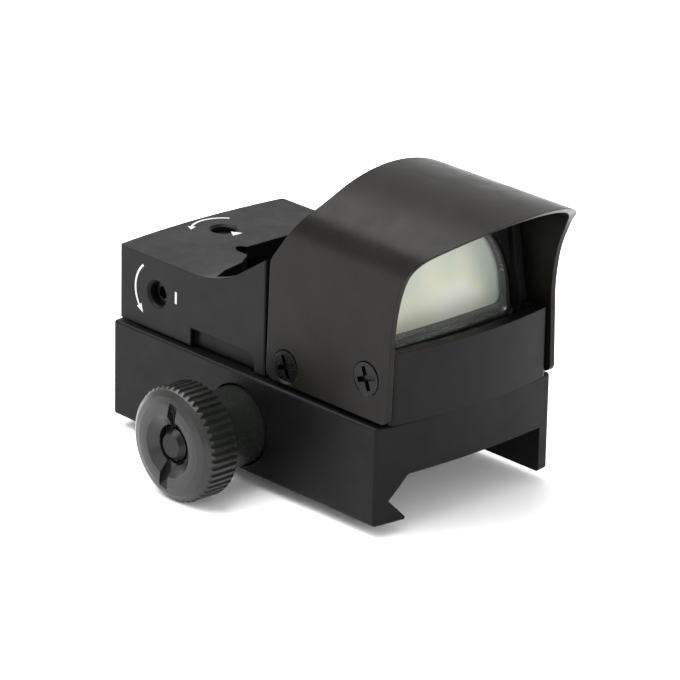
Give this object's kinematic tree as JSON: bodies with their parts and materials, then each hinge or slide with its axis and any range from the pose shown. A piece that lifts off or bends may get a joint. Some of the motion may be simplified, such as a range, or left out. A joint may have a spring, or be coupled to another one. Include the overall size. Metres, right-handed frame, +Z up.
{
  "type": "mini_reflex_sight",
  "caption": "Compact black reflex red-dot sight with a sheet hood, arched lens frame and ribbed knob, on a clamp mount for a grooved accessory rail.",
  "frame": {"origin": "centre of the rail seat, the flat ceiling of the mount's groove", "axes": "+Z up away from the rail, -Y towards the target (the lens end), -X the side with the clamp knob"},
  "size_m": [0.0388, 0.058, 0.0393],
  "materials": {
    "anodised_mount": "satin black anodised aluminium, fine blasted grain",
    "anodised_body": "matt black anodised aluminium, fine blasted grain",
    "anodised_hood": "satin black anodised sheet",
    "knob_black": "satin black anodised, ribbed rim",
    "black_steel": "black oxide steel",
    "steel": "plain steel",
    "spring_steel": "spring steel wire and strip",
    "brass": "machined brass",
    "cell_steel": "plated cell can",
    "board_green": "green board",
    "black_plastic": "moulded black plastic",
    "seal_rubber": "black sealing bead",
    "coated_glass": "coated optical glass, faint grey-green reflection",
    "window_glass": "smoked clear plug",
    "red_emitter": "red epoxy dome"
  },
  "bodies": {
    "sight": {"mount_base": "anodised_mount", "knob_washer": "steel", "base_screws": "black_steel", "locating_pins": "steel", "sight_body": "anodised_body", "body_gasket": "seal_rubber", "hood": "anodised_hood", "hood_screws": "black_steel", "lens": "coated_glass", "lens_seal": "seal_rubber", "battery": "cell_steel", "contact_centre": "spring_steel", "contact_rim": "spring_steel", "circuit_board": "board_green", "board_chip": "black_plastic", "light_sensor": "black_plastic", "sensor_window": "window_glass", "elevation_retainer": "steel", "windage_retainer": "steel", "clamp_spring": "spring_steel", "elevation_spring": "spring_steel", "windage_spring": "spring_steel"},
    "jaw": {"clamp_jaw": "black_steel", "cross_bolt": "black_steel"},
    "knob": {"clamp_knob": "knob_black"},
    "elevation_key": {"elevation_screw": "black_steel"},
    "windage_key": {"windage_screw": "black_steel"},
    "elevation_block": {"elevation_nut": "brass"},
    "windage_block": {"windage_slider": "brass"},
    "emitter": {"emitter_carriage": "black_plastic", "emitter_diode": "red_emitter"}
  },
  "joints": [
    {"name": "knob_turn", "type": "hinge", "parent": "sight", "child": "knob", "pos_m": [-0.018, 0.0005, -0.00015], "axis": [-1, 0, 0], "range_deg": [0, 771.5]},
    {"name": "jaw_slide", "type": "slide", "parent": "sight", "child": "jaw", "axis": [1, 0, 0], "range_m": [0, 0.0015], "deforming": ["clamp_spring"]},
    {"name": "elevation_turn", "type": "hinge", "parent": "sight", "child": "elevation_key", "pos_m": [0, 0.0191, 0.012], "axis": [0, 0, 1], "range_deg": [-288.1, 288.1]},
    {"name": "elevation_slide", "type": "slide", "parent": "sight", "child": "elevation_block", "axis": [0, 0, 1], "range_m": [-0.0004, 0.0004], "deforming": ["elevation_spring"]},
    {"name": "windage_turn", "type": "hinge", "parent": "sight", "child": "windage_key", "pos_m": [-0.011, 0.0161, 0.0114], "axis": [-1, 0, 0], "range_deg": [-288.1, 288.1]},
    {"name": "windage_slide", "type": "slide", "parent": "sight", "child": "windage_block", "axis": [1, 0, 0], "range_m": [-0.0004, 0.0004], "deforming": ["windage_spring"]},
    {"name": "emitter_rise", "type": "slide", "parent": "windage_block", "child": "emitter", "axis": [0, 0, 1], "range_m": [-0.0004, 0.0004]}
  ],
  "couplings": [
    {"joint": "knob_turn", "follows": "jaw_slide", "rad_per_m": 8976},
    {"joint": "elevation_turn", "follows": "elevation_slide", "rad_per_m": -12566},
    {"joint": "emitter_rise", "follows": "elevation_slide", "ratio": 1},
    {"joint": "windage_turn", "follows": "windage_slide", "rad_per_m": 12566}
  ]
}
